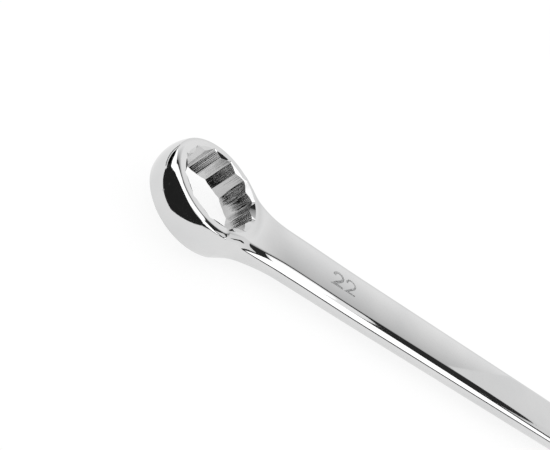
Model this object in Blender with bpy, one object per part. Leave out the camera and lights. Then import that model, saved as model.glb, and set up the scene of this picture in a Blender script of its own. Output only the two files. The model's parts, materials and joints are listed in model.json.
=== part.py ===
"""A 7/8 inch combination wrench: an offset 12-point box end, a straight shank and an angled open end.

The shank lies along X with its top face up. The box end is at -X, tilted so that its tip is raised, and the
open end is at +X. The real tool is one forging. It is divided here across the shank into its three working
regions, which keep a small gap to each other. The middle of the bottom of the whole is at the world origin.
"""

from math import asin, atan2, cos, pi, radians, sin, sqrt

import bmesh
import bpy
from mathutils import Matrix, Vector

# Driving dimensions, in metres and radians.
NUT_ACROSS_FLATS = 0.022225
NUT_CLEARANCE = 0.0001
CENTRE_DISTANCE = 0.256
PIECE_GAP = 0.0003

# Box end. Its centre is raised above the middle plane of the shank.
RING_RADIUS = 0.0167
RING_THICKNESS = 0.0106
RING_CROWN = 0.0115
RING_CROWN_DROP = 0.0004
RING_EDGE_ROUND = 0.0008
RING_TILT = radians(15)
RING_RAISE = 0.0030
BORE_POINTS = 12
BORE_CHAMFER = 0.0004

# Shank. Its two faces are flat and its sides are rounded.
SHANK_START = 0.030
SHANK_END = 0.212
SHANK_WIDTH_AT_BOX = 0.0184
SHANK_WIDTH_AT_OPEN = 0.0178
SHANK_THICKNESS = 0.0062
SHANK_SIDE_ROUND = 0.0029
SIDE_STEPS = 6

# The neck between the ring and the shank. In plan its sides are hollow arcs that run out along the ring.
NECK_START = 0.0085
NECK_FILLET = 0.042
NECK_FILLET_END = 0.0275
NECK_BELOW_FACE = 0.0003

# Open end.
JAW_ANGLE = radians(15)
HEAD_RADIUS = 0.0230
HEAD_SETBACK = 0.0015
HEAD_THICKNESS = 0.0100
HEAD_EDGE_ROUND = 0.0008
JAW_LENGTH = 0.0125
JAW_TIP_ROUND = 0.0028
THROAT_FLAT_END = 0.0065
THROAT_DEPTH = 0.0137
FLARE_SHORT_OF_CENTRE = 0.011
FLARE_HALF_WIDTH = 0.0165
FLARE_THICKNESS = 0.0096

# The ring's rounded edge: where the crown ends, and the middle point between crown and face, in edge rounds.
CROWN_END_DEPTH = 0.6
EDGE_POINT_INWARD = 0.45
EDGE_POINT_DEPTH = 0.15

# A side's rounding is at most this share of the local thickness.
SIDE_ROUND_LIMIT = 0.47

CUT_PAST = 0.002
RING_SEGMENTS = 96
CROWN_STEPS = 12
NECK_STEPS = 20
SHANK_STEPS = 14
FLARE_STEPS = 12
EDGE_SEGMENTS = 3
HEAD_STEP = radians(6)
TIP_STEP = radians(15)
THROAT_STEP = radians(8)
SMOOTH_UP_TO = radians(30)
CHROME = (0.80, 0.81, 0.83, 1.0)
CHROME_ROUGHNESS = 0.08


def clear_scene():
    for old in list(bpy.data.objects):
        bpy.data.objects.remove(old)


def chrome_material(name):
    material = bpy.data.materials.new(name)
    material.use_nodes = True
    surface = material.node_tree.nodes["Principled BSDF"]
    surface.inputs["Base Color"].default_value = CHROME
    surface.inputs["Metallic"].default_value = 1.0
    surface.inputs["Roughness"].default_value = CHROME_ROUGHNESS
    return material


def object_from(mesh_builder, name, parent=None):
    """A linked object that holds the mesh, with outward normals and smooth shading up to 30 degrees."""
    bmesh.ops.recalc_face_normals(mesh_builder, faces=mesh_builder.faces)
    mesh = bpy.data.meshes.new(name)
    mesh_builder.to_mesh(mesh)
    mesh_builder.free()
    mesh.shade_smooth()
    mesh.set_sharp_from_angle(angle=SMOOTH_UP_TO)
    made = bpy.data.objects.new(name, mesh)
    bpy.context.scene.collection.objects.link(made)
    made.parent = parent
    return made


def as_cutter(made):
    made.hide_render = True
    made.display_type = "WIRE"
    return made


def combine(target, other, operation):
    as_cutter(other)
    modifier = target.modifiers.new(f"{operation.lower()}_{other.name}", "BOOLEAN")
    modifier.operation = operation
    modifier.solver = "EXACT"
    modifier.object = other


def loft(sections):
    """A closed solid through sections of equal point count, with both ends capped."""
    mesh_builder = bmesh.new()
    rings = [[mesh_builder.verts.new(point) for point in section] for section in sections]
    count = len(sections[0])
    for first, second in zip(rings, rings[1:]):
        for i in range(count):
            j = (i + 1) % count
            mesh_builder.faces.new((first[i], first[j], second[j], second[i]))
    mesh_builder.faces.new(rings[0])
    mesh_builder.faces.new(reversed(rings[-1]))
    return mesh_builder


def prism(outline, low, high):
    """The outline, a list of (x, y), extruded from height low to height high."""
    return loft([[(x, y, low) for x, y in outline], [(x, y, high) for x, y in outline]])


def arc(centre, radius, start, end, step):
    """Points on an arc from angle start to angle end, both included."""
    count = max(1, round(abs(end - start) / step))
    angles = [start + (end - start) * i / count for i in range(count + 1)]
    return [(centre[0] + radius * cos(a), centre[1] + radius * sin(a)) for a in angles]


def ease(value, start, end):
    """0 before start and 1 after end, with a smooth change between them."""
    share = min(1.0, max(0.0, (value - start) / (end - start)))
    return share * share * (3 - 2 * share)


def between(first, second, share):
    return first + (second - first) * share


def body_section(x, half_width, top, bottom):
    """The outline of the shank or a neck at x: flat faces between rounded sides."""
    radius = min(SHANK_SIDE_ROUND, (top - bottom) * SIDE_ROUND_LIMIT)
    turns = [pi / 2 * i / SIDE_STEPS for i in range(SIDE_STEPS + 1)]
    reach = half_width - radius
    upper = [(reach + radius * cos(a), top - radius + radius * sin(a)) for a in turns]
    upper += [(-y, z) for y, z in reversed(upper)]
    lower = [(y, top + bottom - z) for y, z in reversed(upper)]
    return [(x, y, z) for y, z in upper + lower]


def shank_half_width(x):
    share = ease(x, SHANK_START, SHANK_END)
    return between(SHANK_WIDTH_AT_BOX, SHANK_WIDTH_AT_OPEN, share) / 2


def make_shank(parent):
    half_height = SHANK_THICKNESS / 2
    first = SHANK_START + PIECE_GAP / 2
    last = SHANK_END - PIECE_GAP / 2
    places = [between(first, last, i / SHANK_STEPS) for i in range(SHANK_STEPS + 1)]
    sections = [body_section(x, shank_half_width(x), half_height, -half_height) for x in places]
    shank = object_from(loft(sections), "shank", parent)
    shank.data.materials.append(chrome_material("shank_chrome"))
    return shank


def ring_profile():
    """The ring's outer outline, as (radius, height) from the top face down to the bottom face."""
    half = RING_THICKNESS / 2
    crown_centre = RING_RADIUS - RING_CROWN
    crown_end = half - RING_EDGE_ROUND * CROWN_END_DEPTH
    top_angle = asin((crown_end + RING_CROWN_DROP) / RING_CROWN)
    low_angle = asin((crown_end - RING_CROWN_DROP) / RING_CROWN)
    crown = []
    for i in range(CROWN_STEPS + 1):
        angle = between(top_angle, -low_angle, i / CROWN_STEPS)
        crown.append((crown_centre + RING_CROWN * cos(angle), RING_CROWN * sin(angle) - RING_CROWN_DROP))
    top_radius, low_radius = crown[0][0], crown[-1][0]
    inward = RING_EDGE_ROUND * EDGE_POINT_INWARD
    edge_height = half - RING_EDGE_ROUND * EDGE_POINT_DEPTH
    return [
        (top_radius - RING_EDGE_ROUND, half),
        (top_radius - inward, edge_height),
        *crown,
        (low_radius - inward, -edge_height),
        (low_radius - RING_EDGE_ROUND, -half),
    ]


def turned(profile, segments):
    """A solid of revolution about Z from (radius, height) points that run down its outer side."""
    angles = [2 * pi * i / segments for i in range(segments)]
    levels = [[(radius * cos(a), radius * sin(a), height) for a in angles] for radius, height in profile]
    return loft(levels)


def star_outline(across_flats):
    """The 12-point outline of two hexagons turned 30 degrees apart, with a corner on the X axis."""
    half = across_flats / 2
    outward = half / cos(pi / 6)
    inward = half / cos(pi / BORE_POINTS)
    corners = []
    for i in range(2 * BORE_POINTS):
        radius = inward if i % 2 else outward
        turn = pi * i / BORE_POINTS
        corners.append((radius * cos(turn), radius * sin(turn)))
    return corners


def bore_cutter():
    """The bore, with a straight chamfer at each face of the ring."""
    across = NUT_ACROSS_FLATS + NUT_CLEARANCE
    half = RING_THICKNESS / 2
    wide = across + 2 * (BORE_CHAMFER + CUT_PAST)
    levels = [
        (wide, half + CUT_PAST),
        (across, half - BORE_CHAMFER),
        (across, BORE_CHAMFER - half),
        (wide, -half - CUT_PAST),
    ]
    return loft([[(x, y, z) for x, y in star_outline(width)] for width, z in levels])


def ring_face_height(x, side):
    """The height of the plane of the ring's top face (side 1) or bottom face (side -1) at x."""
    return RING_RAISE + (side * RING_THICKNESS / 2 - x * sin(RING_TILT)) / cos(RING_TILT)


def neck_section(x):
    """The neck's outline at x, as thick as the shank, or thicker where the ring's top face is higher."""
    into_neck = max(0.0, NECK_FILLET_END - x)
    hollow = NECK_FILLET - sqrt(NECK_FILLET**2 - into_neck**2)
    top = max(SHANK_THICKNESS / 2, ring_face_height(x, 1) - NECK_BELOW_FACE)
    return body_section(x, shank_half_width(x) + hollow, top, -SHANK_THICKNESS / 2)


def make_box_end(parent):
    tilt = Matrix.Rotation(RING_TILT, 4, "Y")
    place = Matrix.Translation((0, 0, RING_RAISE)) @ tilt
    box_end = object_from(turned(ring_profile(), RING_SEGMENTS), "box_end", parent)
    box_end.data.transform(place)
    box_end.data.materials.append(chrome_material("box_end_chrome"))

    neck_end = SHANK_START - PIECE_GAP / 2
    places = [between(NECK_START, neck_end, i / NECK_STEPS) for i in range(NECK_STEPS + 1)]
    neck = object_from(loft([neck_section(x) for x in places]), "box_neck", parent)
    bore = object_from(bore_cutter(), "bore_cutter", parent)
    bore.data.transform(place)
    combine(box_end, neck, "UNION")
    combine(box_end, bore, "DIFFERENCE")
    return box_end


def head_outline():
    """The open head's outline in the jaw frame, which looks out of the mouth along +X."""
    centre = (-HEAD_SETBACK, 0.0)
    round_centre_x = JAW_LENGTH - JAW_TIP_ROUND
    reach = HEAD_RADIUS - JAW_TIP_ROUND
    round_centre_y = sqrt(reach**2 - (round_centre_x - centre[0]) ** 2)
    meet = atan2(round_centre_y, round_centre_x - centre[0])
    tip = arc((round_centre_x, round_centre_y), JAW_TIP_ROUND, 0, meet, TIP_STEP)
    back = arc(centre, HEAD_RADIUS, meet, pi, HEAD_STEP)
    upper = tip + back[1:]
    lower = [(x, -y) for x, y in reversed(upper[:-1])]
    return upper + lower


def jaw_outline():
    """The gap between the jaws in the jaw frame: two flats and a round throat, run out past the mouth."""
    half_gap = (NUT_ACROSS_FLATS + NUT_CLEARANCE) / 2
    depth = THROAT_DEPTH - THROAT_FLAT_END
    radius = (depth**2 + half_gap**2) / (2 * depth)
    centre_x = radius - THROAT_DEPTH
    start = atan2(half_gap, -THROAT_FLAT_END - centre_x)
    throat = arc((centre_x, 0.0), radius, start, 2 * pi - start, THROAT_STEP)
    past = JAW_LENGTH + CUT_PAST
    return [(past, half_gap)] + throat + [(past, -half_gap)]


def rounded_plate(outline, thickness, edge_round):
    """The outline as a plate, with its two outer edges bevelled."""
    mesh_builder = prism(outline, -thickness / 2, thickness / 2)
    rim = [e for e in mesh_builder.edges if abs(e.verts[0].co.z - e.verts[1].co.z) < thickness / 2]
    bmesh.ops.bevel(
        mesh_builder, geom=rim, offset=edge_round, segments=EDGE_SEGMENTS, profile=0.5, affect="EDGES"
    )
    return mesh_builder


def flare_section(x):
    """The blend from the shank into the open head, wider and deeper towards the head."""
    share = ease(x, SHANK_END, CENTRE_DISTANCE - FLARE_SHORT_OF_CENTRE)
    half_width = between(shank_half_width(SHANK_END), FLARE_HALF_WIDTH, share**2)
    half_height = between(SHANK_THICKNESS, FLARE_THICKNESS, share) / 2
    return body_section(x, half_width, half_height, -half_height)


def make_open_end(parent):
    place = Matrix.Translation((CENTRE_DISTANCE, 0, 0)) @ Matrix.Rotation(JAW_ANGLE, 4, "Z")
    plate = rounded_plate(head_outline(), HEAD_THICKNESS, HEAD_EDGE_ROUND)
    open_end = object_from(plate, "open_end", parent)
    open_end.data.transform(place)
    open_end.data.materials.append(chrome_material("open_end_chrome"))

    first = SHANK_END + PIECE_GAP / 2
    last = CENTRE_DISTANCE - FLARE_SHORT_OF_CENTRE
    places = [between(first, last, i / FLARE_STEPS) for i in range(FLARE_STEPS + 1)]
    flare = object_from(loft([flare_section(x) for x in places]), "open_flare", parent)
    jaws = object_from(prism(jaw_outline(), -HEAD_THICKNESS, HEAD_THICKNESS), "jaw_cutter", parent)
    jaws.data.transform(place)
    combine(open_end, flare, "UNION")
    combine(open_end, jaws, "DIFFERENCE")
    return open_end


def stand_on_origin(root, pieces):
    """Moves the root so that the middle of the bottom of all the pieces is at the world origin."""
    bpy.context.view_layer.update()
    graph = bpy.context.evaluated_depsgraph_get()
    corners = []
    for piece in pieces:
        evaluated = piece.evaluated_get(graph)
        corners.extend(evaluated.matrix_world @ Vector(corner) for corner in evaluated.bound_box)
    low = [min(corner[axis] for corner in corners) for axis in range(3)]
    high = [max(corner[axis] for corner in corners) for axis in range(3)]
    root.location = (-(low[0] + high[0]) / 2, -(low[1] + high[1]) / 2, -low[2])


def main():
    clear_scene()
    root = bpy.data.objects.new("wrench", None)
    bpy.context.scene.collection.objects.link(root)
    pieces = [make_box_end(root), make_shank(root), make_open_end(root)]
    stand_on_origin(root, pieces)


main()
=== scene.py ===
"""The looks of the combination wrench: a polished chrome forging on a pale studio floor.

The forging is described as a field that is negative inside the metal, built in a design frame whose origin is
under the middle of the box end, on the middle plane of the shank. Each visible piece is a mesh of the field's
zero surface, cut at the seams of the CAD nodes, so that the pieces meet without a gap.
"""

import json
from math import cos, pi, radians, sin

import bmesh
import bpy
import numpy as np
from mathutils import Matrix, Vector


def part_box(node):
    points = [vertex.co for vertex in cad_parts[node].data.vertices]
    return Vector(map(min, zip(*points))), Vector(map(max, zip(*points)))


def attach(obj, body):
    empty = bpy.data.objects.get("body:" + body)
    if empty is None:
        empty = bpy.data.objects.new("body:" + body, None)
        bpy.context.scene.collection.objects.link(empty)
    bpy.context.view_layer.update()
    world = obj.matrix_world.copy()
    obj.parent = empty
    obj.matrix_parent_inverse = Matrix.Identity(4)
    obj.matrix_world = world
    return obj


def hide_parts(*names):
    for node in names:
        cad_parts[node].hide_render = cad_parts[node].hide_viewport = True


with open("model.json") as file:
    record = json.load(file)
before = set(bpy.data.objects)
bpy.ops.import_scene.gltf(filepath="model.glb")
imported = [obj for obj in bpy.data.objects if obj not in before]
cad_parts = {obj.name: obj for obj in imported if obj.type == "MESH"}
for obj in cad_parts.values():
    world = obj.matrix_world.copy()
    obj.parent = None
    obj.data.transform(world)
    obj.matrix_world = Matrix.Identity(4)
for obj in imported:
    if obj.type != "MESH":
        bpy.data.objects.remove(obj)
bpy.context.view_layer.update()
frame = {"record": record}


def opening_middle(name):
    """The middle of one of the record's opening boxes."""
    box = next(o["box_m"] for o in frame["record"]["physics"]["openings"] if o["name"] == name)
    return (Vector(box[0]) + Vector(box[1])) / 2


# The design frame, and where the seams between the CAD nodes are along its X axis.
shank_low, shank_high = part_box("shank")
SHANK_MIDDLE = (shank_low + shank_high) / 2
BORE_MIDDLE = opening_middle("box_bore")
BOX_SEAM = (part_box("box_end")[1].x + shank_low.x) / 2 - BORE_MIDDLE.x
OPEN_SEAM = (shank_high.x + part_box("open_end")[0].x) / 2 - BORE_MIDDLE.x
DESIGN_ORIGIN = Vector((BORE_MIDDLE.x, SHANK_MIDDLE.y, SHANK_MIDDLE.z))

# Box end. All lengths are in metres, and all angles in radians.
RING_RADIUS = 0.01668
RING_THICKNESS = 0.0106
RING_CROWN = 0.0115
RING_CROWN_DROP = 0.0004
RING_EDGE_ROUND = 0.0008
RING_TILT = radians(15)
RING_RAISE = BORE_MIDDLE.z - SHANK_MIDDLE.z
ACROSS_FLATS = 0.022325
BORE_CHAMFER = 0.00022
TOOTH_TIP_ROUND = 0.00030
TOOTH_ROOT_ROUND = 0.00080
LEAD_IN_RADIUS = 0.0126
LEAD_IN_WIDTH = 0.0011
LEAD_IN_DEPTH = 0.0006
LEAD_IN_SIDES = 120
BORE_POINTS = 12
TOOTH_CORNER_STEPS = 3
CUT_PAST = 0.002

# Shank and its necks.
SHANK_WIDTH_AT_BOX = 0.0184
SHANK_WIDTH_AT_OPEN = 0.0178
SHANK_THICKNESS = shank_high.z - shank_low.z
SHANK_SIDE_ROUND = 0.0029
SHANK_START = 0.0085
SHANK_SHORT_OF_HEAD_CENTRE = 0.010
NECK_FILLET = 0.042
NECK_FILLET_END = 0.0275
NECK_FILLET_REACH = 0.020
NECK_RAISE = 0.00035
NECK_RAISE_START = 0.028
NECK_RAISE_END = 0.055
NECK_BLEND = 0.0022
NECK_UNDERSIDE_LIFT = 0.0003
NECK_UNDERSIDE_BLEND = 0.0012
FACE_CROWN = 0.00015
FACE_CROWN_HALF_WIDTH = 0.006
FACE_CROWN_START = 0.019
FACE_CROWN_FULL = 0.030
OPEN_FLARE = 0.0100
OPEN_FLARE_POWER = 2.2
OPEN_FLARE_BEFORE_SEAM = 0.004
OPEN_FLARE_SHORT_OF_CENTRE = 0.006
THICKENING_SHORT_OF_CENTRE = 0.017
RING_JOIN_REACH = 0.0022
HEAD_JOIN_REACH = 0.0030

# Open end.
JAW_ANGLE = radians(15)
JAW_SETBACK = 0.0015
HEAD_CENTRE = opening_middle("jaw_gap").x - JAW_SETBACK - BORE_MIDDLE.x
HEAD_RADIUS = 0.02297
HEAD_SETBACK = 0.0015
HEAD_THICKNESS = 0.0100
HEAD_EDGE_ROUND = 0.0007
HEAD_FACE_PROUD = 0.0016
JAW_CHAMFER = 0.0004
JAW_LENGTH = 0.0125
JAW_TIP_ROUND = 0.0028
THROAT_FLAT_END = 0.0065
THROAT_DEPTH = 0.0137
THROAT_STEPS = 40
JAW_CUT_PAST = 0.01

# Size number on the shank: two plain figures.
NUMBER_MIDDLE_X = 0.0473
NUMBER_MIDDLE_Y = 0.0003
FIGURE_HEIGHT = 0.0052
FIGURE_WIDTH = 0.0031
FIGURE_SPACING = 0.0046
GROOVE_HALF_WIDTH = 0.00042
GROOVE_DEPTH = 0.00022
GROOVE_CUT_PAST = 0.0004
SHARPEST_MITRE = 0.35
BOW_STEPS = 12
BOW_HALF_TURNS = 1.22

# Meshes: the room and the cell size of each, and the tolerances of the surface.
SEAM_MARGIN = 0.0012
BOX_END_LOW = (-0.0170, -0.0172, -0.0080)
BOX_END_HIGH_YZ = (0.0172, 0.0130)
BOX_END_CELL = (0.00025, 0.00025, 0.00025)
SHANK_ROOM_YZ = (0.0095, 0.0042)
SHANK_CELL = (0.0014, 0.00018, 0.00018)
OPEN_END_ROOM_YZ = (0.0240, 0.0060)
OPEN_END_PAST_CENTRE = 0.0190
OPEN_END_CELL = (0.00036, 0.00036, 0.00036)
SLOPE_STEP = 2e-6
SMALLEST_SLOPE = 1e-12
SURFACE_STEPS = 6
ENGRAVED_FACE_STEPS = 4
CUT_MERGE_DISTANCE = 1e-7
ON_SURFACE = 3e-6
SHARP_ANGLE = radians(20)
FORGED_AGREEMENT = 0.8
WALL_FACING = 0.3

# Plating: grain sizes in metres along each axis, how fine each noise is, the part of it that shows, and the
# roughness that it adds.
MOTTLE_GRAIN = (0.018, 0.018, 0.018)
MOTTLE_DETAIL = 3
MOTTLE_STOPS = (0.35, 0.65)
FINE_GRAIN = (0.0006, 0.0006, 0.0006)
FINE_GRAIN_DETAIL = 5
FINE_GRAIN_RANGE = (0.3, 0.7)
LINE_DETAIL = 2
SCRATCH_GRAIN = (0.011, 0.0004, 0.0004)
SCRATCH_RANGE = (0.66, 0.74)
SCRATCH_ROUGHNESS = 0.10
WORN_EDGE_RANGE = (0.53, 0.62)
WORN_EDGE_ROUGHNESS = 0.16

# Studio: strengths, and the sizes of the floor and of the painted shadow under the bore, in metres.
FLAG_STRENGTH = 0.02
FLAG_FOOT = -0.006
# Painted shadow: dark sheets under the ring that only reflections see, standing in for the floor's shadow
# there.
PAINTED_SHADOW_STRENGTH = 0.015
PAINTED_SHADOW_RADIUS = 0.0131
PAINTED_SHADOW_GROUND = -0.0058
FLOOR_REACH = 3.0
FLOOR_GREY = 0.22
FLOOR_ROUGHNESS = 0.9
FLOOR_GLOW = 0.80
WORLD_STRENGTH = 1.0
WORLD_STRENGTH_IN_GLOSS = 0.03

# Camera, from the middle of the ring's top face.
CAMERA_OFFSET = Vector((-0.0255, -0.1270, 0.0927))
AIM_OFFSET = Vector((0.0177, -0.0009, 0.0))
CAMERA_ROLL = radians(44.1)
CAMERA_LENS = 39.27
CAMERA_SENSOR = 36.0
CAMERA_CLIP = (0.001, 10)


def ease(value, start, end):
    """0 before start and 1 after end, with a smooth change between them."""
    share = np.clip((value - start) / (end - start), 0.0, 1.0)
    return share * share * (3 - 2 * share)


def round_meet(first, second, radius):
    """The intersection of two fields, with its outer edge rounded."""
    corner = np.hypot(np.maximum(first + radius, 0), np.maximum(second + radius, 0))
    return np.minimum(np.maximum(first, second), -radius) + corner


def smooth_join(first, second, reach):
    """The union of two fields, with the inner corner filled."""
    near = np.maximum(reach - np.abs(first - second), 0) / reach
    return np.minimum(first, second) - near**3 * reach / 6


def smooth_top(first, second, reach):
    """The higher of two heights, with the corner between them filled."""
    near = np.maximum(reach - np.abs(first - second), 0) / reach
    return np.maximum(first, second) + near**3 * reach / 6


def ring_field(x, y, z):
    """The box end's ring, a barrel between two flat faces, tilted about the Y axis."""
    along = x * cos(RING_TILT) - (z - RING_RAISE) * sin(RING_TILT)
    up = x * sin(RING_TILT) + (z - RING_RAISE) * cos(RING_TILT)
    barrel = np.hypot(np.hypot(along, y) - (RING_RADIUS - RING_CROWN), up + RING_CROWN_DROP) - RING_CROWN
    faces = np.abs(up) - RING_THICKNESS / 2
    return round_meet(barrel, faces, RING_EDGE_ROUND)


def ring_face_height(x, side):
    """The height of the plane of the ring's top face (side 1) or bottom face (side -1) at x."""
    return RING_RAISE + (side * RING_THICKNESS / 2 - x * sin(RING_TILT)) / cos(RING_TILT)


def shank_half_width(x):
    """Half the shank's width at x, with its flares into the box end and the open end."""
    taper = ease(x, BOX_SEAM, OPEN_SEAM)
    straight = (SHANK_WIDTH_AT_BOX + (SHANK_WIDTH_AT_OPEN - SHANK_WIDTH_AT_BOX) * taper) / 2
    into_neck = np.clip(NECK_FILLET_END - x, 0, NECK_FILLET_REACH)
    box_flare = NECK_FILLET - np.sqrt(NECK_FILLET**2 - into_neck**2)
    flare_start = OPEN_SEAM - OPEN_FLARE_BEFORE_SEAM
    flare_end = HEAD_CENTRE - OPEN_FLARE_SHORT_OF_CENTRE
    open_flare = OPEN_FLARE * ease(x, flare_start, flare_end) ** OPEN_FLARE_POWER
    return straight + box_flare + open_flare


def shank_field(x, y, z):
    """The shank with its necks: flat above and below, with rounded sides."""
    thickened = ease(x, OPEN_SEAM, HEAD_CENTRE - THICKENING_SHORT_OF_CENTRE)
    half = SHANK_THICKNESS / 2 + (HEAD_THICKNESS / 2 - HEAD_FACE_PROUD - SHANK_THICKNESS / 2) * thickened
    raised = NECK_RAISE * (1 - ease(x, NECK_RAISE_START, NECK_RAISE_END))
    along_crown = ease(x, FACE_CROWN_START, FACE_CROWN_FULL)
    crown = FACE_CROWN * (1 - (y / FACE_CROWN_HALF_WIDTH) ** 2) * along_crown
    top = smooth_top(ring_face_height(x, 1), half + raised, NECK_BLEND) + crown
    under_ring = ring_face_height(x, -1) + NECK_UNDERSIDE_LIFT
    bottom = smooth_top(under_ring, raised / 2 - half, NECK_UNDERSIDE_BLEND) - crown
    side = np.abs(y) - shank_half_width(x)
    solid = round_meet(round_meet(side, z - top, SHANK_SIDE_ROUND), bottom - z, SHANK_SIDE_ROUND)
    return np.maximum(np.maximum(solid, SHANK_START - x), x - HEAD_CENTRE + SHANK_SHORT_OF_HEAD_CENTRE)


def head_field(x, y, z):
    """The open end's head, a round plate cut off across the jaw tips."""
    out = (x - HEAD_CENTRE) * cos(JAW_ANGLE) + y * sin(JAW_ANGLE)
    across = y * cos(JAW_ANGLE) - (x - HEAD_CENTRE) * sin(JAW_ANGLE)
    disc = np.hypot(out + HEAD_SETBACK, across) - HEAD_RADIUS
    outline = round_meet(disc, out - JAW_LENGTH, JAW_TIP_ROUND)
    return round_meet(outline, np.abs(z) - HEAD_THICKNESS / 2, HEAD_EDGE_ROUND)


def forging_field(points):
    """The whole forging, before the bore and the jaws are cut. Points are rows of x, y, z."""
    x, y, z = points[..., 0], points[..., 1], points[..., 2]
    field = smooth_join(shank_field(x, y, z), ring_field(x, y, z), RING_JOIN_REACH)
    return smooth_join(field, head_field(x, y, z), HEAD_JOIN_REACH)


def field_slope(points):
    """The field's gradient, by central differences."""
    slope = np.empty_like(points)
    for axis in range(3):
        shift = np.zeros(3)
        shift[axis] = SLOPE_STEP
        slope[..., axis] = (forging_field(points + shift) - forging_field(points - shift)) / (2 * SLOPE_STEP)
    return slope


def surface_of(low, high, cell):
    """(points, quads) of the field's zero surface inside a box, one point in each cell that it crosses."""
    axes = [np.arange(low[i], high[i] + cell[i], cell[i]) for i in range(3)]
    grid = np.stack(np.meshgrid(*axes, indexing="ij"), axis=-1)
    values = forging_field(grid)
    inside = values < 0
    shape = tuple(n - 1 for n in inside.shape)
    total, count = np.zeros(shape + (3,)), np.zeros(shape)
    crossings = []
    for axis in range(3):
        here = [slice(None)] * 3
        there = [slice(None)] * 3
        here[axis], there[axis] = slice(None, -1), slice(1, None)
        here, there = tuple(here), tuple(there)
        crossed = inside[here] != inside[there]
        index = np.argwhere(crossed)
        first, second = values[here][crossed], values[there][crossed]
        share = first / (first - second)
        place = grid[here][crossed]
        place[:, axis] += share * cell[axis]
        crossings.append((axis, index, inside[here][crossed]))
        others = [a for a in range(3) if a != axis]
        for back_first in (0, 1):
            for back_second in (0, 1):
                cells = index.copy()
                cells[:, others[0]] -= back_first
                cells[:, others[1]] -= back_second
                real = ((cells >= 0) & (cells < shape)).all(axis=1)
                target = tuple(cells[real].T)
                np.add.at(total, target, place[real])
                np.add.at(count, target, 1)
    used = count > 0
    number = np.full(shape, -1)
    number[used] = np.arange(used.sum())
    points = total[used] / count[used][:, None]
    quads = []
    for axis, index, starts_inside in crossings:
        first, second = [(1, 2), (2, 0), (0, 1)][axis]
        corners = []
        for back_first, back_second in ((0, 0), (1, 0), (1, 1), (0, 1)):
            cells = index.copy()
            cells[:, first] -= back_first
            cells[:, second] -= back_second
            corners.append(cells)
        corners = np.stack(corners, axis=1)
        real = ((corners >= 0) & (corners < shape)).all(axis=(1, 2))
        corners, outward = corners[real], starts_inside[real]
        quad = number[corners[..., 0], corners[..., 1], corners[..., 2]]
        quad[~outward] = quad[~outward][:, ::-1]
        quads.append(quad)
    for _ in range(SURFACE_STEPS):
        slope = field_slope(points)
        value = forging_field(points)
        points = points - (value / (slope**2).sum(axis=1))[:, None] * slope
    return points, np.concatenate(quads)


def mesh_object(name, points, faces):
    """A mesh from points and faces, linked to the scene."""
    mesh = bpy.data.meshes.new(name)
    mesh.from_pydata([tuple(p) for p in points], [], [tuple(int(i) for i in face) for face in faces])
    mesh.update()
    made = bpy.data.objects.new(name, mesh)
    bpy.context.scene.collection.objects.link(made)
    return made


def cut_across(target, x, keep_low):
    """Cuts a closed mesh at the plane x and caps it, keeping the side below x or the side above."""
    builder = bmesh.new()
    builder.from_mesh(target.data)
    geometry = builder.verts[:] + builder.edges[:] + builder.faces[:]
    cut = bmesh.ops.bisect_plane(
        builder,
        geom=geometry,
        dist=CUT_MERGE_DISTANCE,
        plane_co=(x, 0, 0),
        plane_no=(1, 0, 0),
        clear_outer=keep_low,
        clear_inner=not keep_low,
    )
    rim = [e for e in cut["geom_cut"] if isinstance(e, bmesh.types.BMEdge)]
    bmesh.ops.contextual_create(builder, geom=rim)
    bmesh.ops.recalc_face_normals(builder, faces=builder.faces)
    builder.to_mesh(target.data)
    builder.free()


def rounded_corner(before, corner, after, radius, steps):
    """Points of an arc that rounds the corner of an outline."""
    corner = Vector(corner)
    back, on = (Vector(before) - corner).normalized(), (Vector(after) - corner).normalized()
    half = back.angle(on) / 2
    middle = corner + (back + on).normalized() * radius / sin(half)
    first = corner + back * radius / np.tan(half) - middle
    last = corner + on * radius / np.tan(half) - middle
    turn = first.angle_signed(last)
    points = []
    for i in range(steps + 1):
        arm = first.copy()
        arm.rotate(Matrix.Rotation(-turn * i / steps, 2))
        points.append(tuple(middle + arm))
    return points


def star_outline(across_flats):
    """The 12-point outline of two hexagons turned 30 degrees apart, with a corner on the X axis."""
    half = across_flats / 2
    corners = []
    for i in range(2 * BORE_POINTS):
        turn = pi * i / BORE_POINTS
        radius = half / cos(pi / 12) if i % 2 else half / cos(pi / 6)
        corners.append((radius * cos(turn), radius * sin(turn)))
    points = []
    for i, corner in enumerate(corners):
        radius = TOOTH_TIP_ROUND if i % 2 else TOOTH_ROOT_ROUND
        after = corners[(i + 1) % len(corners)]
        points += rounded_corner(corners[i - 1], corner, after, radius, TOOTH_CORNER_STEPS)
    return points


def loft(name, sections):
    """A closed mesh through rings of points that all have the same count, from the lowest ring up."""
    points = [point for section in sections for point in section]
    count, levels = len(sections[0]), len(sections)
    faces = [
        (k * count + i, k * count + (i + 1) % count, (k + 1) * count + (i + 1) % count, (k + 1) * count + i)
        for k in range(levels - 1)
        for i in range(count)
    ]
    faces.append(tuple(reversed(range(count))))
    faces.append(tuple(range((levels - 1) * count, levels * count)))
    return mesh_object(name, points, faces)


def in_ring(cutter):
    """The cutter, moved from the ring's own frame to the design frame."""
    cutter.data.transform(Matrix.Translation((0, 0, RING_RAISE)) @ Matrix.Rotation(RING_TILT, 4, "Y"))
    return cutter


def bore_cutter():
    """The 12-point bore, with a small chamfer at both faces."""
    half = RING_THICKNESS / 2
    wide = ACROSS_FLATS + 2 * (BORE_CHAMFER + CUT_PAST)
    levels = [
        (wide, -half - CUT_PAST),
        (ACROSS_FLATS, BORE_CHAMFER - half),
        (ACROSS_FLATS, half - BORE_CHAMFER),
        (wide, half + CUT_PAST),
    ]
    return in_ring(loft("bore_cutter", [[(x, y, z) for x, y in star_outline(width)] for width, z in levels]))


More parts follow.
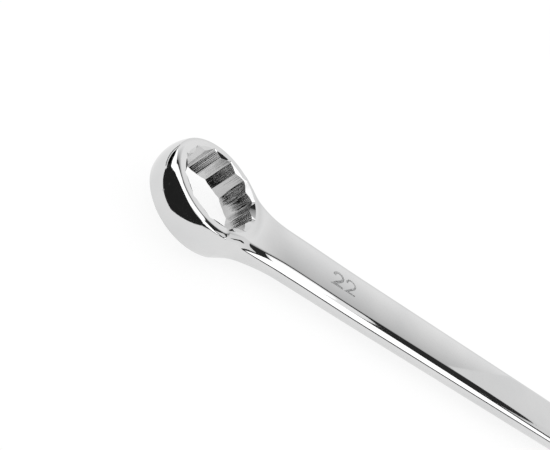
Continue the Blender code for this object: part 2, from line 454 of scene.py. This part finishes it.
def lead_in_cutter(side):
    """A shallow cone that cuts back the tips of the bore's teeth at one face."""
    face = RING_THICKNESS / 2
    past = CUT_PAST * LEAD_IN_WIDTH / LEAD_IN_DEPTH
    inner = (LEAD_IN_RADIUS - LEAD_IN_WIDTH, face - LEAD_IN_DEPTH)
    outer = (LEAD_IN_RADIUS + past, face + CUT_PAST)
    rings = [inner, outer]
    if side < 0:
        rings = [(radius, -height) for radius, height in reversed(rings)]
    turns = [2 * pi * i / LEAD_IN_SIDES for i in range(LEAD_IN_SIDES)]
    sections = [[(radius * cos(a), radius * sin(a), height) for a in turns] for radius, height in rings]
    return in_ring(loft("lead_in_cutter", sections))


def jaw_outline(grow):
    """The gap between the jaws, two flats and a round throat, grown outwards by the given amount."""
    half_gap = ACROSS_FLATS / 2 + grow
    depth = THROAT_DEPTH - THROAT_FLAT_END + grow
    radius = (depth**2 + half_gap**2) / (2 * depth)
    centre_x = radius - THROAT_DEPTH - grow
    start = np.arctan2(half_gap, -THROAT_FLAT_END - centre_x)
    turns = [start + (2 * pi - 2 * start) * i / THROAT_STEPS for i in range(THROAT_STEPS + 1)]
    throat = [(centre_x + radius * cos(a), radius * sin(a)) for a in turns]
    past = JAW_LENGTH + JAW_CUT_PAST
    return [(past, half_gap)] + throat + [(past, -half_gap)]


def jaw_cutter():
    """The gap between the jaws, with a chamfer at both faces."""
    half = HEAD_THICKNESS / 2
    wide = JAW_CHAMFER + CUT_PAST
    levels = [
        (wide, -half - CUT_PAST),
        (0, JAW_CHAMFER - half),
        (0, half - JAW_CHAMFER),
        (wide, half + CUT_PAST),
    ]
    cutter = loft("jaw_cutter", [[(x, y, z) for x, y in jaw_outline(grow)] for grow, z in levels])
    place = Matrix.Translation((HEAD_CENTRE, 0, 0)) @ Matrix.Rotation(JAW_ANGLE, 4, "Z")
    cutter.data.transform(place)
    return cutter


def subtract(target, cutter):
    """Cuts the cutter out of the target and deletes the cutter."""
    modifier = target.modifiers.new("cut", "BOOLEAN")
    modifier.operation = "DIFFERENCE"
    modifier.solver = "MANIFOLD"
    modifier.object = cutter
    graph = bpy.context.evaluated_depsgraph_get()
    result = bpy.data.meshes.new_from_object(target.evaluated_get(graph))
    target.modifiers.clear()
    result.materials.clear()
    target.data = result
    bpy.data.objects.remove(cutter)


def field_normals(target, cut_axis):
    """Smooth normals from the field on the forged surface, and flat or sharp ones where it was cut.

    Faces of a cut that stand along cut_axis take the second material.
    """
    mesh = target.data
    mesh.shade_smooth()
    mesh.set_sharp_from_angle(angle=SHARP_ANGLE)
    count = len(mesh.vertices)
    points = np.empty(count * 3)
    mesh.vertices.foreach_get("co", points)
    points = points.reshape(-1, 3)
    slope = field_slope(points)
    slope /= np.maximum(np.linalg.norm(slope, axis=1), SMALLEST_SLOPE)[:, None]
    on_field = np.abs(forging_field(points)) < ON_SURFACE
    corners = np.empty(len(mesh.loops) * 3, np.float32)
    mesh.corner_normals.foreach_get("vector", corners)
    corners = corners.reshape(-1, 3).astype(float)
    vertex = np.empty(len(mesh.loops), int)
    mesh.loops.foreach_get("vertex_index", vertex)
    start = np.empty(len(mesh.polygons), int)
    size = np.empty(len(mesh.polygons), int)
    mesh.polygons.foreach_get("loop_start", start)
    mesh.polygons.foreach_get("loop_total", size)
    facing = np.empty(len(mesh.polygons) * 3)
    mesh.polygons.foreach_get("normal", facing)
    facing = facing.reshape(-1, 3)
    owner = np.repeat(np.arange(len(start)), size)
    agrees = (facing[owner] * slope[vertex]).sum(axis=1) > FORGED_AGREEMENT
    forged = np.minimum.reduceat(on_field[vertex] & agrees, start)
    smooth = forged[owner]
    corners[smooth] = slope[vertex][smooth]
    wall = ~forged & (np.abs(facing @ cut_axis) < WALL_FACING)
    mesh.polygons.foreach_set("material_index", wall.astype(np.int32))
    mesh.normals_split_custom_set([tuple(n) for n in corners])


def forged_piece(name, low, high, cell):
    """The forging's surface inside a box, as a mesh."""
    points, quads = surface_of(low, high, cell)
    return mesh_object(name, points, quads)


def digit_two(left, base, height, width):
    """The stroke of a plain figure 2, as points from its top left to its foot."""
    radius = width / 2
    middle = (left + radius, base + height - radius)
    turns = [pi * (1 - i / BOW_STEPS * BOW_HALF_TURNS) for i in range(BOW_STEPS + 1)]
    bow = [(middle[0] + radius * cos(a), middle[1] + radius * sin(a)) for a in turns]
    return bow + [(left, base), (left + width, base)]


def groove_cutter(stroke, half_width, depth, surface):
    """A V-shaped bar along the stroke, which cuts a groove into the top face."""
    grow = GROOVE_CUT_PAST / depth
    points, faces = [], []
    last = len(stroke) - 1
    for i, here in enumerate(stroke):
        before, after = Vector(stroke[max(i - 1, 0)]), Vector(stroke[min(i + 1, last)])
        into = (Vector(here) - before).normalized() if i > 0 else (after - Vector(here)).normalized()
        out = (after - Vector(here)).normalized() if i < last else into
        along = (into + out).normalized()
        side = Vector((-along.y, along.x)) / max(SHARPEST_MITRE, along.dot(out))
        reach = half_width * (1 + grow)
        end = Vector(here) - along * half_width * (i == 0) + along * half_width * (i == last)
        top = surface + GROOVE_CUT_PAST
        left, right = end - side * reach, end + side * reach
        points += [(left.x, left.y, top), (right.x, right.y, top), (here[0], here[1], surface - depth)]
    for i in range(last):
        for j in range(3):
            k = (j + 1) % 3
            faces.append((3 * i + j, 3 * i + k, 3 * i + 3 + k, 3 * i + 3 + j))
    faces.append((2, 1, 0))
    faces.append((3 * last, 3 * last + 1, 3 * last + 2))
    return mesh_object("groove_cutter", points, faces)


def engrave_number(shank):
    """Cuts the two figures of the size number into the shank's top face."""
    surface = SHANK_THICKNESS / 2
    for _ in range(ENGRAVED_FACE_STEPS):
        surface -= forging_field(np.array([NUMBER_MIDDLE_X, NUMBER_MIDDLE_Y, surface]))
    base = NUMBER_MIDDLE_Y - FIGURE_HEIGHT / 2
    first_left = NUMBER_MIDDLE_X - (FIGURE_SPACING + FIGURE_WIDTH) / 2
    for left in (first_left, first_left + FIGURE_SPACING):
        stroke = digit_two(left, base, FIGURE_HEIGHT, FIGURE_WIDTH)
        subtract(shank, groove_cutter(stroke, GROOVE_HALF_WIDTH, GROOVE_DEPTH, surface))


def noise(nodes, links, grain, detail, tilt=0.0):
    """A noise texture in object coordinates. grain is its size in metres along each axis, tilted about Y."""
    mapping = nodes.new("ShaderNodeMapping")
    mapping.vector_type = "TEXTURE"
    mapping.inputs["Rotation"].default_value = (0, tilt, 0)
    mapping.inputs["Scale"].default_value = grain
    links.new(nodes.new("ShaderNodeTexCoord").outputs["Object"], mapping.inputs["Vector"])
    texture = nodes.new("ShaderNodeTexNoise")
    texture.inputs["Scale"].default_value = 1.0
    texture.inputs["Detail"].default_value = detail
    links.new(mapping.outputs["Vector"], texture.inputs["Vector"])
    return texture.outputs["Fac"]


def remap(nodes, links, value, start, end, low, high):
    """The value carried from the range start..end to the range low..high."""
    node = nodes.new("ShaderNodeMapRange")
    for name, number in (("From Min", start), ("From Max", end), ("To Min", low), ("To Max", high)):
        node.inputs[name].default_value = number
    links.new(value, node.inputs["Value"])
    return node.outputs["Result"]


def arithmetic(nodes, links, operation, first, second):
    """The result of a Math node on two values."""
    node = nodes.new("ShaderNodeMath")
    node.operation = operation
    links.new(first, node.inputs[0])
    links.new(second, node.inputs[1])
    return node.outputs["Value"]


def bump(nodes, links, height, distance, below=None):
    """A bump layer of the given height in metres, on top of another layer."""
    node = nodes.new("ShaderNodeBump")
    node.inputs["Distance"].default_value = distance
    links.new(height, node.inputs["Height"])
    if below is not None:
        links.new(below, node.inputs["Normal"])
    return node.outputs["Normal"]


def plating(name, colours, roughness, wave, lines):
    """Plated steel. Its colour, roughness and bump vary over the surface, and its edges are worn.

    wave and lines are each a bump height, a grain size along the axes and a tilt about Y.
    """
    material = bpy.data.materials.new(name)
    material.use_nodes = True
    nodes, links = material.node_tree.nodes, material.node_tree.links
    surface = nodes["Principled BSDF"]
    surface.inputs["Metallic"].default_value = 1.0
    ramp = nodes.new("ShaderNodeValToRGB")
    for element, position, colour in zip(ramp.color_ramp.elements, MOTTLE_STOPS, colours):
        element.position = position
        element.color = (*colour, 1)
    links.new(noise(nodes, links, MOTTLE_GRAIN, MOTTLE_DETAIL), ramp.inputs["Fac"])
    links.new(ramp.outputs["Color"], surface.inputs["Base Color"])
    grains = noise(nodes, links, FINE_GRAIN, FINE_GRAIN_DETAIL)
    lengths = noise(nodes, links, SCRATCH_GRAIN, LINE_DETAIL)
    scratches = remap(nodes, links, lengths, *SCRATCH_RANGE, 0.0, SCRATCH_ROUGHNESS)
    pointed = nodes.new("ShaderNodeNewGeometry").outputs["Pointiness"]
    worn = remap(nodes, links, pointed, *WORN_EDGE_RANGE, 0.0, WORN_EDGE_ROUGHNESS)
    gloss = remap(nodes, links, grains, *FINE_GRAIN_RANGE, *roughness)
    gloss = arithmetic(nodes, links, "ADD", gloss, scratches)
    links.new(arithmetic(nodes, links, "ADD", gloss, worn), surface.inputs["Roughness"])
    normal = None
    for height, grain, tilt in (wave, lines):
        normal = bump(nodes, links, noise(nodes, links, grain, LINE_DETAIL, tilt), height, normal)
    links.new(normal, surface.inputs["Normal"])
    return material


def build_pieces(materials):
    """The three visible pieces, cut at the seams. Each takes both materials."""
    box_end_high = (BOX_SEAM + SEAM_MARGIN, *BOX_END_HIGH_YZ)
    box_end = forged_piece("box_end_forging", BOX_END_LOW, box_end_high, BOX_END_CELL)
    cut_across(box_end, BOX_SEAM, True)
    subtract(box_end, bore_cutter())
    subtract(box_end, lead_in_cutter(1))
    subtract(box_end, lead_in_cutter(-1))
    room_y, room_z = SHANK_ROOM_YZ
    shank_low_corner = (BOX_SEAM - SEAM_MARGIN * 2, -room_y, -room_z)
    shank_high_corner = (OPEN_SEAM + SEAM_MARGIN * 2, room_y, room_z)
    shank = forged_piece("shank_forging", shank_low_corner, shank_high_corner, SHANK_CELL)
    cut_across(shank, BOX_SEAM, False)
    cut_across(shank, OPEN_SEAM, True)
    room_y, room_z = OPEN_END_ROOM_YZ
    open_end_low = (OPEN_SEAM - SEAM_MARGIN, -room_y, -room_z)
    open_end_high = (HEAD_CENTRE + OPEN_END_PAST_CENTRE, room_y, room_z)
    open_end = forged_piece("open_end_forging", open_end_low, open_end_high, OPEN_END_CELL)
    cut_across(open_end, OPEN_SEAM, False)
    subtract(open_end, jaw_cutter())
    engrave_number(shank)
    bore_axis = (sin(RING_TILT), 0, cos(RING_TILT))
    jaw_axis = (0, 0, 1)
    # Slanted: only groove walls facing one way take the darker second material, as painted shade.
    painted_shade_groove_axis = (1, 1, 1)
    for piece, cut_axis in ((box_end, bore_axis), (shank, painted_shade_groove_axis), (open_end, jaw_axis)):
        for material in materials:
            piece.data.materials.append(material)
        field_normals(piece, np.array(cut_axis))
    return box_end, shank, open_end


def make_camera():
    """The camera, placed and aimed from the middle of the ring's top face."""
    data = bpy.data.cameras.new("camera")
    data.sensor_width = CAMERA_SENSOR
    data.lens = CAMERA_LENS
    data.clip_start, data.clip_end = CAMERA_CLIP
    camera = bpy.data.objects.new("camera", data)
    bpy.context.scene.collection.objects.link(camera)
    above_middle = Matrix.Rotation(RING_TILT, 3, "Y") @ Vector((0, 0, RING_THICKNESS / 2))
    face = DESIGN_ORIGIN + Vector((0, 0, RING_RAISE)) + above_middle
    place = face + CAMERA_OFFSET
    ahead = (face + AIM_OFFSET - place).normalized()
    sideways = ahead.cross(Vector((0, 0, 1))).normalized()
    rise = sideways.cross(ahead)
    right = sideways * cos(CAMERA_ROLL) + rise * sin(CAMERA_ROLL)
    turn = Matrix((right, right.cross(ahead), -ahead)).transposed()
    camera.matrix_world = Matrix.Translation(place) @ turn.to_4x4()
    bpy.context.scene.camera = camera


def glow(name, low_strength, high_strength):
    """A material for a light panel, which fades evenly from its lower edge to its upper edge."""
    material = bpy.data.materials.new(name)
    material.use_nodes = True
    nodes, links = material.node_tree.nodes, material.node_tree.links
    nodes.remove(nodes["Principled BSDF"])
    emission = nodes.new("ShaderNodeEmission")
    emission.inputs["Strength"].default_value = low_strength
    if low_strength != high_strength:
        height = nodes.new("ShaderNodeSeparateXYZ")
        links.new(nodes.new("ShaderNodeTexCoord").outputs["Generated"], height.inputs["Vector"])
        faded = remap(nodes, links, height.outputs["Z"], 0.0, 1.0, low_strength, high_strength)
        links.new(faded, emission.inputs["Strength"])
    links.new(emission.outputs["Emission"], nodes["Material Output"].inputs["Surface"])
    return material


def stage_panel(name, points, faces, material):
    """A studio panel that only the chrome sees."""
    mesh = bpy.data.meshes.new(name)
    mesh.from_pydata(points, [], faces)
    mesh.materials.append(material)
    made = bpy.data.objects.new(name, mesh)
    bpy.context.scene.collection.objects.link(made)
    made.visible_camera = False
    made.visible_diffuse = False
    made.visible_shadow = False


def panel(name, corners, low_strength, high_strength):
    """A flat four-cornered panel: a soft light, or a black flag at strength 0."""
    points = [tuple(DESIGN_ORIGIN + Vector(corner)) for corner in corners]
    stage_panel(name, points, [(0, 1, 2, 3)], glow(name, low_strength, high_strength))


def upright(name, start, end, low, high, low_strength, high_strength):
    """A panel that stands upright over the line from start to end on the floor."""
    (x0, y0), (x1, y1) = start, end
    corners = [(x0, y0, low), (x1, y1, low), (x1, y1, high), (x0, y0, high)]
    panel(name, corners, low_strength, high_strength)


def level(name, low, high, z, strength):
    """A panel that lies level, from the corner low to the corner high."""
    (x0, y0), (x1, y1) = low, high
    panel(name, [(x0, y0, z), (x1, y0, z), (x1, y1, z), (x0, y1, z)], strength, strength)


def strip(name, stops, strength):
    """A panel that stands in a row of upright sheets. Each stop is x, y and the heights of its two edges."""
    points, faces = [], []
    for i, (x, y, low, high) in enumerate(stops):
        points += [tuple(DESIGN_ORIGIN + Vector((x, y, z))) for z in (low, high)]
        if i:
            faces.append((2 * i - 2, 2 * i, 2 * i + 1, 2 * i - 1))
    stage_panel(name, points, faces, glow(name, strength, strength))


def painted_shadow_under_bore():
    """Painted shadow below the left part of the ring: dark upright sheets with gaps between them, and a flat
    one.
    """
    # Only reflections see these sheets. They stand in for the floor's shadow under the ring, and their gaps
    # paint streaks in the bore.
    turns = [radians(a) for a in range(110, 281, 5)]
    line = [(PAINTED_SHADOW_RADIUS * cos(a), PAINTED_SHADOW_RADIUS * sin(a)) for a in turns]
    per_sheet = 4
    for i in range(0, len(line) - per_sheet + 1, per_sheet):
        stops = [(x, y, PAINTED_SHADOW_GROUND, ring_face_height(x, -1)) for x, y in line[i : i + per_sheet]]
        strip("painted_shadow_%02d" % i, stops, PAINTED_SHADOW_STRENGTH)
    points = [tuple(DESIGN_ORIGIN + Vector((x, y, PAINTED_SHADOW_GROUND))) for x, y in line]
    black = glow("painted_shadow_floor", PAINTED_SHADOW_STRENGTH, PAINTED_SHADOW_STRENGTH)
    stage_panel("painted_shadow_floor", points, [tuple(range(len(points)))], black)


def make_studio():
    """Soft lights overhead, in front and at the left, white paper behind, and black flags by the box end."""
    level("overhead_light", (-0.55, -0.60), (0.285, 0.05), 0.50, 1.7)
    level("overhead_back_left", (-0.55, 0.05), (0.05, 0.25), 0.50, 1.5)
    level("overhead_back_right", (0.05, 0.05), (0.285, 0.20), 0.50, 1.3)
    level("overhead_far", (0.34, -0.60), (0.60, 0.40), 1.00, 1.1)
    upright("front_light", (0.16, -0.50), (0.80, -0.50), 0.12, 1.10, 1.7, 1.7)
    upright("left_light", (-0.50, -0.12), (-0.50, 0.60), 0.10, 0.60, 1.7, 1.7)
    upright("left_paper", (-0.50, -0.12), (-0.10, -0.50), -0.01, 0.40, 0.95, 0.75)
    upright("middle_paper", (-0.10, -0.50), (0.16, -0.50), 0.25, 0.50, 0.9, 0.8)
    upright("front_paper", (-0.10, -0.50), (0.80, -0.50), -0.01, 0.025, 1.0, 1.0)
    upright("back_paper", (-0.60, 0.60), (1.40, 0.60), -0.01, 0.36, 0.85, 1.05)
    upright("back_paper_top", (-0.60, 0.60), (1.40, 0.60), 0.36, 0.86, 1.05, 0.25)
    upright("right_paper", (0.70, -0.32), (0.70, 0.60), -0.01, 0.60, 1.0, 0.9)
    upright("right_flag", (0.69, 0.02), (0.69, 0.22), 0.25, 0.33, 0.0, 0.0)
    left_stops = [
        (-0.025, -0.033, FLAG_FOOT, 0.060),
        (-0.048, -0.024, FLAG_FOOT, 0.060),
        (-0.066, -0.017, FLAG_FOOT, 0.038),
        (-0.250, 0.055, FLAG_FOOT, 0.050),
    ]
    strip("flag_left", left_stops, FLAG_STRENGTH)
    front_stops = [
        (-0.025, -0.033, FLAG_FOOT, 0.060),
        (0.020, -0.215, FLAG_FOOT, 0.060),
        (0.075, -0.235, 0.018, 0.040),
    ]
    strip("flag_front", front_stops, FLAG_STRENGTH)
    upright("flag_back_low", (-0.205, 0.064), (-0.112, 0.185), FLAG_FOOT, 0.001, 0.0, 0.0)
    upright("flag_back_high", (-0.205, 0.064), (-0.112, 0.185), 0.014, 0.034, 0.0, 0.0)
    # Painted shadow under the ring, seen only in reflections.
    painted_shadow_under_bore()


def make_floor():
    """A plain pale floor, which glows so that it stays evenly pale."""
    signs = ((-1, -1), (1, -1), (1, 1), (-1, 1))
    floor = mesh_object("floor", [(FLOOR_REACH * a, FLOOR_REACH * b, 0) for a, b in signs], [(0, 1, 2, 3)])
    material = bpy.data.materials.new("floor_paper")
    material.use_nodes = True
    surface = material.node_tree.nodes["Principled BSDF"]
    surface.inputs["Base Color"].default_value = (FLOOR_GREY, FLOOR_GREY, FLOOR_GREY, 1)
    surface.inputs["Roughness"].default_value = FLOOR_ROUGHNESS
    surface.inputs["Specular IOR Level"].default_value = 0.0
    surface.inputs["Emission Color"].default_value = (1, 1, 1, 1)
    surface.inputs["Emission Strength"].default_value = FLOOR_GLOW
    floor.data.materials.append(material)


def make_world():
    """White all round for the camera and the floor, and a dark room for reflections."""
    world = bpy.data.worlds.new("world")
    bpy.context.scene.world = world
    world.use_nodes = True
    nodes, links = world.node_tree.nodes, world.node_tree.links
    background = nodes["Background"]
    path = nodes.new("ShaderNodeLightPath")
    strength = remap(
        nodes, links, path.outputs["Is Glossy Ray"], 0.0, 1.0, WORLD_STRENGTH, WORLD_STRENGTH_IN_GLOSS
    )
    links.new(strength, background.inputs["Strength"])
    background.inputs["Color"].default_value = (1, 1, 1, 1)


polished = plating(
    name="polished_plating",
    colours=((0.645, 0.647, 0.650), (0.690, 0.690, 0.690)),
    roughness=(0.025, 0.065),
    wave=(8e-6, (0.008, 0.008, 0.008), 0.0),
    lines=(6e-7, (0.007, 0.0002, 0.0002), 0.0),
)
# Duller plating of the bore and jaw walls. On the figures it darkens the groove walls that face one way, as
# painted shade.
cut = plating(
    name="cut_plating_and_painted_groove_shade",
    colours=((0.50, 0.50, 0.50), (0.62, 0.62, 0.62)),
    roughness=(0.03, 0.11),
    wave=(4e-5, (0.0016, 0.0016, 0.10), RING_TILT),
    lines=(1.1e-4, (0.00030, 0.00030, 0.10), RING_TILT),
)
box_end, shank, open_end = build_pieces((polished, cut))
for piece, node in ((box_end, "box_end"), (shank, "shank"), (open_end, "open_end")):
    piece.data.transform(Matrix.Translation(DESIGN_ORIGIN))
    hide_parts(node)
    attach(piece, "root")
make_floor()
make_studio()
make_camera()
make_world()
bpy.context.scene.view_settings.view_transform = "Standard"
